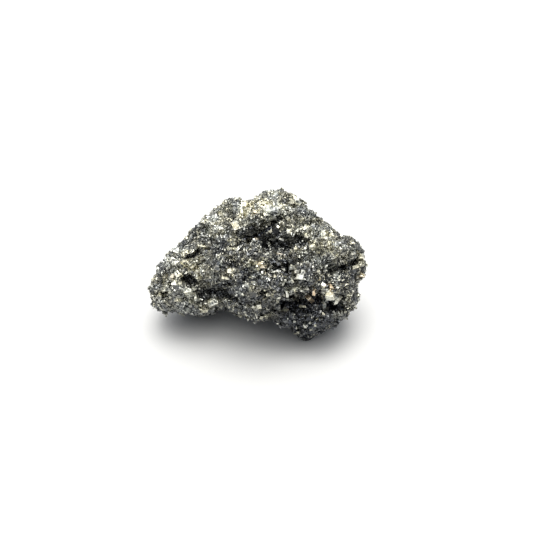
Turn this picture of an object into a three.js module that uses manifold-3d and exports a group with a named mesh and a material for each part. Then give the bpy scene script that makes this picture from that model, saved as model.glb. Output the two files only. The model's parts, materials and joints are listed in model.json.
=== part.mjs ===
// A small pyrite specimen: one intergrown mass of knobs, ledges and vugs, with crystals standing out of it.
// Millimetres, +Z up, +Y away from the viewer. The origin is on the surface that it rests on, under the
// middle of its box.
import * as THREE from "three";
import { mergeVertices } from "three/addons/utils/BufferGeometryUtils.js";
import Module from "manifold-3d";

// Driving dimensions
const viewTilt = THREE.MathUtils.degToRad(40); // the stone is laid out as seen looking down at this angle
const middleHeight = 14.2; // of the stone as it is seen, above the surface that it rests on
const skin = { detail: 15, farthest: 30, blend: 0.9, nearEnough: 0.01 }; // how the skin follows the knobs
const crag = { size: 4.2, depth: 0.75 }; // waves that roughen the skin
const blocks = { size: 2.9, depth: 0.7, turn: 0.7 }; // steps that break it
const blockAxis = new THREE.Vector3(0.48, 0.6, 0.64);
const hollowCrag = { detail: 2, size: 2.1, depth: 0.5 };
const crystals = { count: 84, small: 1, large: 2.7, sunk: 0.42, cubes: 0.85, patch: 9, stray: 0.3 };
const boxShape = { wide: [0.7, 1.3], tall: [0.8, 1.2] }; // a cube's other edges, as shares of its first
const floorSize = { across: 90, deep: 30 };
const pyriteColour = 0x8f8a76;

// The knobs that make the mass. at is right, up and towards the eye from the middle; size is the
// half-widths in the same directions; turn leans the knob anticlockwise as it is seen, in degrees.
const knobs = {
  core: { at: [-1, 0.4, -4], size: [15, 8.5, 12], turn: -10 },
  backRidge: { at: [1, 3.4, -9], size: [12, 7, 7], turn: -10 },
  belly: { at: [1, -4, -5.8], size: [13, 5.7, 7], turn: 0 },
  heelLeft: { at: [-11.2, -6.2, -10.4], size: [4.6, 3.6, 4.6], turn: 0 },
  heelRight: { at: [12, -5.8, -10.8], size: [5, 4, 4.4], turn: 0 },
  leftLobe: { at: [-14.8, -2.5, -2.2], size: [7.6, 5.9, 8], turn: 40 },
  leftLobeTop: { at: [-15.3, 0.9, -3], size: [4.9, 3.6, 5.5], turn: 42 },
  leftLobeEnd: { at: [-17.5, -5, -3], size: [4.2, 4.4, 6.4], turn: -20 },
  leftHeel: { at: [-11.8, -6.4, -2.8], size: [5.8, 3.5, 6.4], turn: 4 },
  leftBack: { at: [-8.4, 0.2, -6], size: [8, 5, 6.5], turn: 30 },
  shoulder: { at: [-9.3, 6, -2], size: [3.6, 4.9, 5.8], turn: -26 },
  shoulderFoot: { at: [-9.8, 2.6, 1.5], size: [2.8, 2.4, 3.5], turn: -10 },
  upperKnob: { at: [-6.4, 9.6, -4.5], size: [4.6, 3.8, 5.5], turn: 24 },
  upperPeak: { at: [-4.6, 11.4, -5.5], size: [3.6, 2.8, 4.5], turn: 0 },
  crest: { at: [2.6, 11.9, -5], size: [4.8, 3.1, 5.5], turn: 16 },
  crestNose: { at: [6.1, 11.3, -4.5], size: [4.4, 3.4, 5], turn: -30 },
  overhang: { at: [-0.2, 8.4, 0.5], size: [6, 2.7, 4.6], turn: 30 },
  overhangLip: { at: [-3.6, 6.4, 2.4], size: [3.2, 2.3, 3.6], turn: 18 },
  brow: { at: [-6.2, 4.6, 2.6], size: [4.4, 4.2, 4.6], turn: -20 },
  midFace: { at: [-6, 0, 5], size: [5.4, 4.4, 4.6], turn: 8 },
  centreFace: { at: [-1.4, 0.8, 5.8], size: [4.6, 3.8, 4.6], turn: -12 },
  shelf: { at: [-1.4, -3.6, 7.8], size: [4.8, 3.2, 4.8], turn: -14 },
  shelfEnd: { at: [3, -4.2, 6.6], size: [4.6, 2.7, 4.6], turn: 8 },
  underShelf: { at: [-0.9, -6.9, 2.2], size: [5.8, 3.1, 6], turn: -10 },
  rightSlope: { at: [8.4, 6.9, -2], size: [6.2, 4.6, 7], turn: -38 },
  rightRise: { at: [12.8, 5, -1.6], size: [5, 3.4, 6], turn: -34 },
  rightLobe: { at: [13.8, 3, 1.5], size: [6, 3.4, 6.2], turn: -14 },
  rightLobeEnd: { at: [18, 3.2, 0], size: [3.6, 2.8, 5], turn: -40 },
  rightRim: { at: [19, 0.3, -1.4], size: [2.8, 3.7, 5], turn: 5 },
  rightFlank: { at: [14.2, -4, 0], size: [5.2, 5, 7.6], turn: 14 },
  rightHip: { at: [16.6, -6.5, -1.6], size: [3.5, 4.5, 6], turn: -8 },
  midRight: { at: [7.8, -1.2, 5], size: [5.4, 3.6, 4.8], turn: -6 },
  footMass: { at: [11.8, -8.5, 0], size: [6, 4.6, 6.4], turn: 26 },
  footSide: { at: [5.6, -9.1, 1.8], size: [3.6, 3.2, 5], turn: -14 },
  foot: { at: [9.5, -11.6, -2.4], size: [3.2, 2.9, 5.2], turn: 0 },
};

// The vugs and cracks between the knobs, given in the same way.
const hollows = {
  deepVug: { at: [3.2, 4.4, 7.4], size: [3.8, 2.2, 4.4], turn: -20 },
  deepVugRight: { at: [6.2, 4.6, 6.4], size: [2.2, 1.9, 3.6], turn: 30 },
  overhangCrack: { at: [-0.8, 5.4, 8], size: [4.6, 0.8, 4], turn: 26 },
  midVug: { at: [5.4, -0.4, 11], size: [3, 1.2, 2.6], turn: -10 },
  midVugTop: { at: [4.2, 1.6, 11], size: [1.6, 1, 2.4], turn: 40 },
  rightCrack: { at: [16.4, -0.2, 8.4], size: [4.4, 0.7, 4], turn: 22 },
  footVug: { at: [9.6, -7.6, 10.4], size: [3.6, 1.6, 3.6], turn: -12 },
  footVugRight: { at: [13.2, -7.6, 9.6], size: [2.6, 1.8, 3.2], turn: 20 },
  shelfCrack: { at: [-3, -6.6, 12.4], size: [4.4, 0.7, 3.4], turn: -16 },
  lobeVugTop: { at: [-14.2, -3, 9.6], size: [1.7, 1.2, 2], turn: -15 },
  lobeVugLow: { at: [-11.2, -6.4, 8.8], size: [1.4, 1.5, 1.8], turn: 10 },
  sideVug: { at: [-6.4, -4.2, 10], size: [1.9, 2, 2.2], turn: 10 },
  shoulderCrack: { at: [-13, 2.2, 5.4], size: [3, 0.7, 2.8], turn: 28 },
};

const wasm = await Module();
wasm.setup();

// A repeatable number from 0 to 1 for a lattice point.
function scatter(i, j, k) {
  const s = Math.sin(i * 127.1 + j * 311.7 + k * 74.7) * 43758.5453;
  return s - Math.floor(s);
}

// Smooth noise from -1 to 1.
function noise(x, y, z) {
  const [i, j, k] = [Math.floor(x), Math.floor(y), Math.floor(z)];
  const ease = (t) => t * t * (3 - 2 * t);
  const [u, v, w] = [ease(x - i), ease(y - j), ease(z - k)];
  const mix = THREE.MathUtils.lerp;
  const edge = (b, c) => mix(scatter(i, j + b, k + c), scatter(i + 1, j + b, k + c), u);
  return 2 * mix(mix(edge(0, 0), edge(1, 0), v), mix(edge(0, 1), edge(1, 1), v), w) - 1;
}

// How far smooth noise pushes a point each way.
function push(p, size, depth) {
  const [x, y, z] = [p.x / size, p.y / size, p.z / size];
  const shift = new THREE.Vector3(noise(x, y, z), noise(y + 31, z, x), noise(z, x + 57, y));
  return shift.multiplyScalar(depth);
}

// From the frame that the knobs are given in to the part's own.
function standUp() {
  const lift = new THREE.Matrix4().makeTranslation(0, 0, middleHeight);
  return lift.multiply(new THREE.Matrix4().makeRotationX(Math.PI / 2 - viewTilt));
}

function placeOf({ at, turn }) {
  const lean = new THREE.Matrix4().makeRotationZ(THREE.MathUtils.degToRad(turn));
  return new THREE.Matrix4().makeTranslation(...at).multiply(lean);
}

// The distance from a point to one knob's skin, less than zero inside it.
function knobGap({ size, inverse }, point) {
  const local = point.clone().applyMatrix4(inverse);
  const length = local.length() + 1e-6;
  const reach = Math.hypot(local.x / size[0], local.y / size[1], local.z / size[2]) + 1e-6;
  return length - length / reach;
}

// The distance to the mass, with the knobs run into each other.
function massGap(point, parts) {
  let gap = Infinity;
  for (const part of parts) {
    const other = knobGap(part, point);
    const near = Math.max(skin.blend - Math.abs(gap - other), 0) / skin.blend;
    gap = Math.min(gap, other) - (near * near * skin.blend) / 4;
  }
  return gap;
}

// How far the mass reaches in one direction from its middle.
function skinReach(direction, parts) {
  let reach = skin.farthest;
  for (let step = 0; step < 60; step++) {
    const gap = massGap(direction.clone().multiplyScalar(reach), parts);
    if (gap < skin.nearEnough) break;
    reach -= 0.8 * gap;
  }
  return reach;
}

function toSolid(geometry) {
  geometry.deleteAttribute("normal");
  geometry.deleteAttribute("uv");
  const merged = mergeVertices(geometry, 1e-4);
  return new wasm.Manifold(
    new wasm.Mesh({
      numProp: 3,
      vertProperties: merged.attributes.position.array,
      triVerts: new Uint32Array(merged.index.array),
    }),
  );
}

// Moves every vertex of a geometry to where a function says.
function reshape(geometry, move) {
  const points = geometry.attributes.position;
  for (let n = 0; n < points.count; n++) {
    const p = move(new THREE.Vector3().fromBufferAttribute(points, n));
    points.setXYZ(n, p.x, p.y, p.z);
  }
  return geometry;
}

// The point of the skin in one direction from the middle, broken up in blocks and roughened.
function skinPoint(direction, parts) {
  const p = direction.clone().multiplyScalar(skinReach(direction, parts));
  const cell = p.clone().applyAxisAngle(blockAxis, blocks.turn).divideScalar(blocks.size).round();
  p.addScaledVector(direction, blocks.depth * (scatter(cell.x, cell.y, cell.z) - 0.5));
  return p.add(push(p, crag.size, crag.depth));
}

// A ball drawn out to the skin.
function growMass(parts) {
  const ball = new THREE.IcosahedronGeometry(1, skin.detail);
  return reshape(ball, (direction) => skinPoint(direction, parts));
}

function hollowOut(hollow) {
  const ball = new THREE.IcosahedronGeometry(1, hollowCrag.detail);
  ball.scale(...hollow.size);
  ball.applyMatrix4(placeOf(hollow));
  return reshape(ball, (p) => p.add(push(p, hollowCrag.size, hollowCrag.depth)));
}

// One of the directions spread evenly over a ball.
function spread(n, count) {
  const height = 1 - (2 * n + 1) / count;
  const around = n * Math.PI * (3 - Math.sqrt(5));
  const ring = Math.sqrt(1 - height * height);
  return new THREE.Vector3(ring * Math.cos(around), height, ring * Math.sin(around));
}

// One of the larger crystals that stand out of the mass. Most are cubes, and the rest octahedra. Those in
// one patch of the mass are turned nearly alike.
function crystal(direction, n, parts) {
  const edge = THREE.MathUtils.lerp(crystals.small, crystals.large, scatter(n, 1, 1) ** 2);
  const place = skinPoint(direction, parts).addScaledVector(direction, -crystals.sunk * edge);
  const patch = place.clone().divideScalar(crystals.patch).round();
  const share = ([low, high], k) => edge * THREE.MathUtils.lerp(low, high, scatter(n, k, k));
  const geometry =
    scatter(n, 2, 2) < crystals.cubes
      ? new THREE.BoxGeometry(edge, share(boxShape.wide, 3), share(boxShape.tall, 4))
      : new THREE.OctahedronGeometry(edge / Math.SQRT2);
  const stray = (k) => crystals.stray * scatter(n, k, 0);
  const lean = (k) => 2 * Math.PI * scatter(patch.x + k, patch.y, patch.z) + stray(k);
  const turned = new THREE.Euler(lean(3), lean(5), lean(7));
  geometry.applyMatrix4(new THREE.Matrix4().makeRotationFromEuler(turned));
  return geometry.translate(place.x, place.y, place.z);
}

// Everything below the surface that the stone rests on, cut away so that its feet are flat.
function floorBlock() {
  const block = new THREE.BoxGeometry(floorSize.across, floorSize.across, floorSize.deep);
  return block.translate(0, 0, -floorSize.deep / 2);
}

function growSpecimen() {
  const readied = (shape) => ({ size: shape.size, inverse: placeOf(shape).invert() });
  const parts = Object.values(knobs).map(readied);
  const vugs = Object.values(hollows).map(readied);
  let mass = toSolid(growMass(parts).applyMatrix4(standUp()));
  for (const hollow of Object.values(hollows)) {
    mass = mass.subtract(toSolid(hollowOut(hollow).applyMatrix4(standUp())));
  }
  for (let n = 0; n < crystals.count; n++) {
    const direction = spread(n, crystals.count);
    const inHollow = vugs.some((vug) => knobGap(vug, skinPoint(direction, parts)) < crystals.large / 2);
    if (inHollow) continue;
    mass = mass.add(toSolid(crystal(direction, n, parts).applyMatrix4(standUp())));
  }
  return mass.subtract(toSolid(floorBlock()));
}

function geometryOf(solid) {
  const { vertProperties, triVerts, numProp, numVert } = solid.getMesh();
  const points = new Float32Array(numVert * 3);
  for (let n = 0; n < numVert; n++) {
    points.set(vertProperties.subarray(n * numProp, n * numProp + 3), n * 3);
  }
  const geometry = new THREE.BufferGeometry();
  geometry.setAttribute("position", new THREE.BufferAttribute(points, 3));
  geometry.setIndex(new THREE.BufferAttribute(triVerts, 1));
  return geometry;
}

// Puts the origin under the middle of the box.
function centre(geometry) {
  geometry.computeBoundingBox();
  const middle = geometry.boundingBox.getCenter(new THREE.Vector3());
  return geometry.translate(-middle.x, -middle.y, 0);
}

const specimen = new THREE.Group();
const pyrite = new THREE.MeshStandardMaterial({ color: pyriteColour, metalness: 0.9, roughness: 0.4 });
const stone = new THREE.Mesh(centre(geometryOf(growSpecimen())), pyrite);
stone.name = "pyrite_mass";
specimen.add(stone);

export default specimen;
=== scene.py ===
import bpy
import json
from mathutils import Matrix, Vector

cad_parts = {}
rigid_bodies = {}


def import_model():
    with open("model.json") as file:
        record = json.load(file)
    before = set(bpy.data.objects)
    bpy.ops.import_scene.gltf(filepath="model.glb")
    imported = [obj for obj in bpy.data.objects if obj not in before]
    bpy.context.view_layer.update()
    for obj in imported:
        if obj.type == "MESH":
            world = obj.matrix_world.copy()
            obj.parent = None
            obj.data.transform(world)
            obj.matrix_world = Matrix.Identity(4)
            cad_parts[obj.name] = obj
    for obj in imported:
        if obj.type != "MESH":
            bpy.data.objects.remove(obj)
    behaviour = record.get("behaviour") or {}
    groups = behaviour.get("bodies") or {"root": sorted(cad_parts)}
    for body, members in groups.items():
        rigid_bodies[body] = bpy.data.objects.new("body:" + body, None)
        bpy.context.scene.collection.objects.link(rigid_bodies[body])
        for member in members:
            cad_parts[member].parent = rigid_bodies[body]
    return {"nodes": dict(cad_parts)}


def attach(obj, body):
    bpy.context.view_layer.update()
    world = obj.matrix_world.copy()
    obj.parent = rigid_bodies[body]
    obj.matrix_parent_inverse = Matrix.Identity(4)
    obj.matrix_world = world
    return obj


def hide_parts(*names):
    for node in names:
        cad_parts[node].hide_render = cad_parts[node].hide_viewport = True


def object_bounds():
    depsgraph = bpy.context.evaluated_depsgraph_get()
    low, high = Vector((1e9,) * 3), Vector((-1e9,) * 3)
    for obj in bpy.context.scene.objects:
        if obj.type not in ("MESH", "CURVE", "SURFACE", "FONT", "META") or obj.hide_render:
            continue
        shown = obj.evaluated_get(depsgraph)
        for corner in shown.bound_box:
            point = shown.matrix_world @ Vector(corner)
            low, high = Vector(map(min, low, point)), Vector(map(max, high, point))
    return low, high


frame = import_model()
cadBounds = [list(corner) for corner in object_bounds()]

import json
import math
import random

import bpy
from mathutils import Matrix, Vector, noise
from mathutils.bvhtree import BVHTree

# A pyrite specimen: one craggy mass, crusted all over with small metallic crystals.
# Metres, +Z up, +Y away from the camera, as in the frame that was just loaded.

mm = 0.001
random.seed(7)


# Nodes

class Wire:  # wraps a socket, so that sums of sockets read as ordinary sums
    def __init__(self, tree, socket=None):
        self.tree = tree
        self.socket = socket

    def node(self, kind, settings=None, output=0, **inputs):
        # The settings come first, because they decide which sockets there are. A socket goes by its name
        # without spaces, or by its number among those in use, as in0.
        node = self.tree.nodes.new(kind)
        for name, value in (settings or {}).items():
            setattr(node, name, value)
        usable = [socket for socket in node.inputs if socket.enabled and not socket.is_unavailable]
        for name, value in inputs.items():
            if name.startswith("in") and name[2:].isdigit():
                socket = usable[int(name[2:])]
            else:
                socket = next(each for each in usable if each.name.replace(" ", "") == name)
            if isinstance(value, Wire):
                self.tree.links.new(value.socket, socket)
            else:
                socket.default_value = value
        given = [socket for socket in node.outputs if socket.enabled and not socket.is_unavailable]
        if isinstance(output, int):
            return Wire(self.tree, given[output])
        return Wire(self.tree, next(each for each in given if each.name == output))

    def other(self, output):
        return Wire(self.tree, self.socket.node.outputs[output])

    def maths(self, operation, a, b=0.0, **settings):
        return self.node("ShaderNodeMath", {"operation": operation, **settings}, in0=a, in1=b)

    def vector(self, operation, *values, output=0):
        return self.node("ShaderNodeVectorMath", {"operation": operation}, output,
                         **{f"in{n}": value for n, value in enumerate(values)})

    def times(self, vector, number):
        return self.node("ShaderNodeVectorMath", {"operation": "SCALE"}, in0=vector, Scale=number)

    def mix(self, share, a, b, blend="MIX"):
        return self.node("ShaderNodeMix", {"data_type": "RGBA", "blend_type": blend}, Factor=share, A=a, B=b)

    def step(self, value, low, high):  # 0 below low, 1 above high, smooth between
        return self.node("ShaderNodeMapRange", {"interpolation_type": "SMOOTHSTEP"}, Value=value, FromMin=low,
                         FromMax=high, ToMin=0.0, ToMax=1.0)

    def __add__(self, other):
        return self.maths("ADD", self, other)

    def __sub__(self, other):
        return self.maths("SUBTRACT", self, other)

    def __rsub__(self, other):
        return self.maths("SUBTRACT", other, self)

    def __mul__(self, other):
        return self.maths("MULTIPLY", self, other)

    def __pow__(self, other):
        return self.maths("POWER", self, other)

    def __rpow__(self, other):
        return self.maths("POWER", other, self)

    __radd__ = __add__
    __rmul__ = __mul__


def newTree(name):
    tree = bpy.data.node_groups.new(name, "GeometryNodeTree")
    for way in ("INPUT", "OUTPUT"):
        tree.interface.new_socket("Geometry", in_out=way, socket_type="NodeSocketGeometry")
    return Wire(tree), Wire(tree, tree.nodes.new("NodeGroupInput").outputs[0])


def endTree(result):
    end = result.tree.nodes.new("NodeGroupOutput")
    result.tree.links.new(result.socket, end.inputs[0])
    return result.tree


# Selecting and changing meshes

def deselectAll():
    bpy.ops.object.select_all(action="DESELECT")


def activate(piece):
    deselectAll()
    piece.select_set(True)
    bpy.context.view_layer.objects.active = piece


def applyModifier(piece, kind, **settings):
    activate(piece)
    modifier = piece.modifiers.new(kind.lower(), kind)
    for name, value in settings.items():
        setattr(modifier, name, value)
    bpy.ops.object.modifier_apply(modifier=modifier.name)


def joinAll(pieces, name):
    deselectAll()
    for piece in pieces:
        piece.select_set(True)
    bpy.context.view_layer.objects.active = pieces[0]
    bpy.ops.object.join()
    joined = bpy.context.object
    joined.name = name
    bpy.ops.object.transform_apply(location=True, rotation=True, scale=True)
    return joined


# Camera

camera = {"lens": 85, "sensor": 36, "distance": 250 * mm, "tilt": 40, "clip": 10 * mm,
          "target": Vector((1.68, -2.35, 14.5)) * mm}
photoSide = 533  # pixels
pixel = 0.206 * mm  # on the stone

tiltAngle = math.radians(camera["tilt"])
toEye = Vector((0, -math.cos(tiltAngle), math.sin(tiltAngle)))
upInView = Vector((0, math.sin(tiltAngle), math.cos(tiltAngle)))
rightInView = Vector((1, 0, 0))
eyePlace = camera["target"] + toEye * camera["distance"]


def makeCamera():
    deselectAll()
    bpy.ops.object.camera_add(location=eyePlace, rotation=(math.pi / 2 - tiltAngle, 0, 0))
    eye = bpy.context.object
    eye.data.lens = camera["lens"]
    eye.data.sensor_width = camera["sensor"]
    eye.data.clip_start = camera["clip"]
    bpy.context.scene.camera = eye


def wayThrough(x, y):  # direction from the eye through a place in the picture
    reach = camera["sensor"] / camera["lens"] / photoSide
    across = (x + 0.5 - photoSide / 2) * reach
    up = (photoSide / 2 - y - 0.5) * reach
    return (rightInView * across + upInView * up - toEye).normalized()


def placeInPicture(point):
    way = point - eyePlace
    scale = camera["lens"] / camera["sensor"] * photoSide / -way.dot(toEye)
    return way.dot(rightInView) * scale + photoSide / 2 - 0.5, photoSide / 2 - 0.5 - way.dot(upInView) * scale


def treeOf(piece):
    return BVHTree.FromObject(piece, bpy.context.evaluated_depsgraph_get())


def seenAt(tree, x, y):  # the point of the surface that is seen there
    return tree.ray_cast(eyePlace, wayThrough(x, y))[0]


# Vugs, cracks, ledges and blocks of the side that the photo shows. Each has its outline in the picture, and
# how far it lies behind the skin, in mm, at its upper and its lower side; less than 0 stands out. A turn
# leans the two sides anticlockwise. Its darkness is painted shade of the recess with a bluish tarnish, and
# bare is how much of its crust is missing.

reliefs = {
    "slabFace": {"deep": (0.1, 0.9), "turn": 17, "tarnish": 0.5, "bare": 1.0, "outline": [
        (239, 222), (249, 219), (262, 219), (271, 217), (279, 214), (284, 214), (283, 219), (276, 222),
        (270, 226), (262, 231), (256, 234), (248, 236), (239, 237), (236, 233)]},
    "slabCrack": {"deep": (1.1, 1.5), "turn": 17, "tarnish": 1.0, "bare": 1.0, "outline": [
        (239, 237), (250, 236), (257, 233), (263, 229), (269, 224), (277, 220), (283, 217), (284, 219),
        (277, 223), (271, 229), (262, 235), (254, 238), (243, 240)]},
    "deepVug": {"deep": (1.1, 0.9), "tarnish": 0.45, "outline": [
        (258, 236), (268, 235), (276, 236), (284, 240), (292, 239), (297, 233), (299, 228), (301, 236),
        (299, 252), (291, 252), (285, 250), (270, 250), (268, 254), (261, 253), (259, 246)]},
    "deepVugLeft": {"deep": (1.2, 1.2), "tarnish": 0.5, "outline": [
        (258, 238), (268, 237), (271, 243), (270, 252), (266, 255), (260, 251), (259, 244)]},
    "darkPatch": {"deep": (0.8, 0.5), "tarnish": 0.6, "outline": [
        (300, 239), (309, 239), (310, 243), (306, 247), (300, 248)]},
    "midVug": {"deep": (1.9, 1.5), "tarnish": 0.7, "outline": [
        (274, 265), (282, 264), (288, 262), (296, 262), (298, 257), (304, 255), (304, 261), (299, 267),
        (297, 272), (291, 275), (284, 275), (279, 273), (274, 269)]},
    "rightCrack": {"deep": (2.6, 2.2), "turn": 18, "tarnish": 0.8, "outline": [
        (325, 270), (335, 268), (343, 264), (350, 262), (355, 258), (357, 250), (360, 250), (359, 259),
        (356, 263), (351, 267), (343, 270), (335, 271), (326, 272)]},
    "rightLobe": {"deep": (-0.2, -1.0), "turn": 18, "tarnish": 0.1, "outline": [
        (312, 252), (322, 244), (334, 241), (346, 241), (355, 245), (357, 251), (354, 258), (343, 263),
        (335, 267), (325, 265), (316, 262)]},
    "shelf": {"deep": (0.3, -0.2), "tarnish": 0.05, "outline": [
        (233, 281), (237, 278), (244, 279), (250, 276), (262, 277), (271, 281), (276, 287), (274, 295),
        (266, 298), (256, 299), (247, 297), (238, 296), (233, 290)]},
    "besideShelf": {"deep": (1.4, 1.2), "tarnish": 0.7, "outline": [
        (215, 284), (222, 280), (232, 279), (231, 290), (235, 297), (246, 300), (258, 302), (250, 305),
        (240, 303), (230, 300), (218, 296), (210, 292), (209, 287)]},
    "shelfPit": {"deep": (1.1, 0.9), "tarnish": 0.8, "outline": [
        (240, 269), (246, 268), (249, 272), (247, 279), (243, 281), (240, 277)]},
    "leftOfShelf": {"deep": (0.7, 0.5), "tarnish": 0.7, "outline": [
        (226, 262), (237, 261), (238, 265), (232, 268), (226, 266)]},
    "lowerRecess": {"deep": (1.7, 0.9), "tarnish": 0.85, "outline": [
        (275, 301), (280, 297), (285, 300), (292, 302), (300, 298), (306, 299), (311, 298), (313, 293),
        (319, 292), (323, 300), (330, 300), (338, 301), (345, 305), (340, 311), (330, 312), (322, 309),
        (314, 313), (304, 313), (298, 309), (288, 312), (281, 306)]},
    "lowerRecessRight": {"deep": (1.4, 1.0), "tarnish": 0.8, "outline": [
        (322, 304), (331, 302), (338, 303), (340, 309), (332, 311), (323, 310)]},
    "lobePit": {"deep": (2.4, 2.0), "tarnish": 0.8, "outline": [
        (179, 276), (184, 273), (192, 275), (197, 279), (195, 284), (190, 287), (184, 284), (180, 281)]},
    "lobePitLow": {"deep": (1.4, 1.2), "tarnish": 0.7, "outline": [
        (194, 290), (202, 287), (209, 288), (216, 292), (215, 297), (208, 297), (207, 301), (202, 303),
        (200, 296)]},
    "lobeNotch": {"deep": (1.5, 1.2), "turn": 20, "tarnish": 0.8, "outline": [
        (181, 260), (185, 254), (190, 251), (199, 247), (200, 251), (194, 257), (187, 258)]},
    "shoulderFace": {"deep": (0.4, 0.9), "tarnish": 0.7, "bare": 1.0, "outline": [
        (198, 222), (206, 221), (208, 227), (207, 231), (198, 232), (197, 227)]},
    "shoulderFaceLow": {"deep": (0.3, 1.1), "tarnish": 0.7, "bare": 1.0, "outline": [
        (198, 233), (206, 232), (213, 237), (215, 243), (204, 243), (196, 240)]},
    "shoulderGap": {"deep": (1.2, 1.0), "tarnish": 0.8, "outline": [
        (199, 246), (212, 246), (215, 239), (217, 242), (214, 249), (200, 249)]},
    "crestPit": {"deep": (1.0, 0.7), "tarnish": 0.9, "outline": [
        (280, 200), (287, 199), (288, 202), (282, 204)]},
    "crestFoot": {"deep": (0.5, 0.2), "tarnish": 0.4, "outline": [
        (284, 208), (298, 207), (302, 212), (297, 218), (290, 215), (284, 213)]},
    "crestEnd": {"deep": (0.4, 0.8), "tarnish": 0.6, "outline": [
        (300, 205), (306, 204), (307, 211), (302, 211)]},
    "slopeCrack": {"deep": (1.1, 1.1), "tarnish": 0.7, "outline": [
        (297, 227), (300, 223), (306, 219), (308, 221), (303, 225), (300, 228)]},
    "crestBlock": {"deep": (0.2, -0.7), "turn": 17, "tarnish": 0.0, "outline": [
        (237, 205), (250, 202), (262, 198), (276, 195), (290, 197), (300, 202), (296, 208), (284, 212),
        (270, 217), (262, 219), (248, 219), (238, 221), (234, 213)]},
    "glitterLedge": {"deep": (-0.4, -0.9), "tarnish": 0.0, "outline": [
        (270, 231), (278, 227), (284, 220), (296, 219), (299, 226), (296, 232), (290, 239), (283, 239),
        (274, 235)]},
    "centreFlat": {"deep": (0.2, 0.5), "tarnish": 0.4, "bare": 0.8, "outline": [
        (288, 280), (297, 279), (298, 287), (292, 290), (287, 287)]},
}
reliefShape = {
    "edge": 1.1,  # px, over which an edge goes down
    "ragged": 1.2,  # px, by which an outline strays
    "raggedSize": 1.3,  # mm
    "apart": Vector((9.3, -1.5, -8.0)),  # between the noise across and the noise down
    "bareBeyond": 1.2,  # px
    "reach": 4,  # px, looked at beyond an outline
}
eyeTest = {"turnedAway": -0.1, "lift": 0.3, "reach": 40 * mm}  # lift in mm


def reachInto(x, y, outline):  # how far inside the outline a place is, less than 0 outside it
    inside, nearest = False, 1e9
    for (ax, ay), (bx, by) in zip(outline, outline[1:] + outline[:1]):
        if (ay > y) != (by > y) and x < ax + (y - ay) / (by - ay) * (bx - ax):
            inside = not inside
        along = ((x - ax) * (bx - ax) + (y - ay) * (by - ay)) / ((bx - ax) ** 2 + (by - ay) ** 2)
        along = max(0.0, min(1.0, along))
        nearest = min(nearest, math.hypot(x - ax - along * (bx - ax), y - ay - along * (by - ay)))
    return nearest if inside else -nearest


def readied(relief):
    outline, turn, reach = relief["outline"], math.radians(relief.get("turn", 0)), reliefShape["reach"]
    down = [x * math.sin(turn) + y * math.cos(turn) for x, y in outline]
    across = [x for x, y in outline]
    height = [y for x, y in outline]
    return {**relief, "down": (math.sin(turn), math.cos(turn)), "from": min(down), "to": max(down),
            "box": (min(across) - reach, max(across) + reach, min(height) - reach, max(height) + reach)}


def reliefAt(point, readiedReliefs):  # how far back the skin goes, how dark its painted shade and tarnish are, and how bare
    x, y = placeInPicture(point)
    place = point / (reliefShape["raggedSize"] * mm)
    x += noise.noise(place) * reliefShape["ragged"]  # noise_vector would give other values in each run
    y += noise.noise(place + reliefShape["apart"]) * reliefShape["ragged"]
    deep, tarnish, bare = 0.0, 0.0, 0.0
    for relief in readiedReliefs:
        left, right, top, bottom = relief["box"]
        if not (left < x < right and top < y < bottom):
            continue
        reach = reachInto(x, y, relief["outline"])
        share = max(0.0, min(1.0, reach / reliefShape["edge"] + 0.5))
        baring = max(0.0, min(1.0, (reach + reliefShape["bareBeyond"]) / reliefShape["edge"] + 0.5))
        down = x * relief["down"][0] + y * relief["down"][1]
        part = max(0.0, min(1.0, (down - relief["from"]) / (relief["to"] - relief["from"])))
        upper, lower = relief["deep"]
        deep += share * (upper + (lower - upper) * part)
        tarnish = max(tarnish, share * relief["tarnish"])
        bare = max(bare, baring * relief.get("bare", 0.0))
    return deep * mm, tarnish, bare


def setAttribute(piece, name, values):
    attribute = piece.data.attributes.get(name) or piece.data.attributes.new(name, "FLOAT", "POINT")
    attribute.data.foreach_set("value", values)


def facesEye(tree, vertex):  # on the side that the photo shows, with nothing before it
    if vertex.normal.dot(toEye) < eyeTest["turnedAway"]:
        return False
    start = vertex.co + (vertex.normal + toEye) * eyeTest["lift"] * mm
    return tree.ray_cast(start, (eyePlace - start).normalized(), eyeTest["reach"])[0] is None


def carveReliefs(mass):
    tree = treeOf(mass)
    ready = [readied(relief) for relief in reliefs.values()]
    deep = []
    for vertex in mass.data.vertices:
        deep.append(reliefAt(vertex.co, ready)[0] if facesEye(tree, vertex) else 0.0)
    setAttribute(mass, "deep", deep)
    nodes, start = newTree("carved")
    place = nodes.node("GeometryNodeInputPosition")
    away = nodes.vector("NORMALIZE", nodes.vector("SUBTRACT", place, tuple(eyePlace)))
    depth = nodes.node("GeometryNodeInputNamedAttribute", {"data_type": "FLOAT"}, Name="deep")
    moved = nodes.node("GeometryNodeSetPosition", Geometry=start, Offset=nodes.times(away, depth))
    applyModifier(mass, "NODES", node_group=endTree(moved))


# Keeping within the box of the CAD. margin is in mm.

boxMargins = {"mass": 0.5, "crystals": 0.01}


def keepInBox(piece, margin):
    nodes, start = newTree("kept")
    place = nodes.node("GeometryNodeInputPosition")
    low, high = (tuple(value + side * margin * mm for value in corner)
                 for side, corner in ((1, cadBounds[0]), (-1, cadBounds[1])))
    kept = nodes.vector("MINIMUM", nodes.vector("MAXIMUM", place, (*low[:2], 0.0)), high)
    applyModifier(piece, "NODES", node_group=endTree(nodes.node("GeometryNodeSetPosition", Geometry=start,
                                                                Position=kept)))


# The craggy mass: broken in tilted facets of two sizes, and drawn in a little to leave room for the crystals

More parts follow.
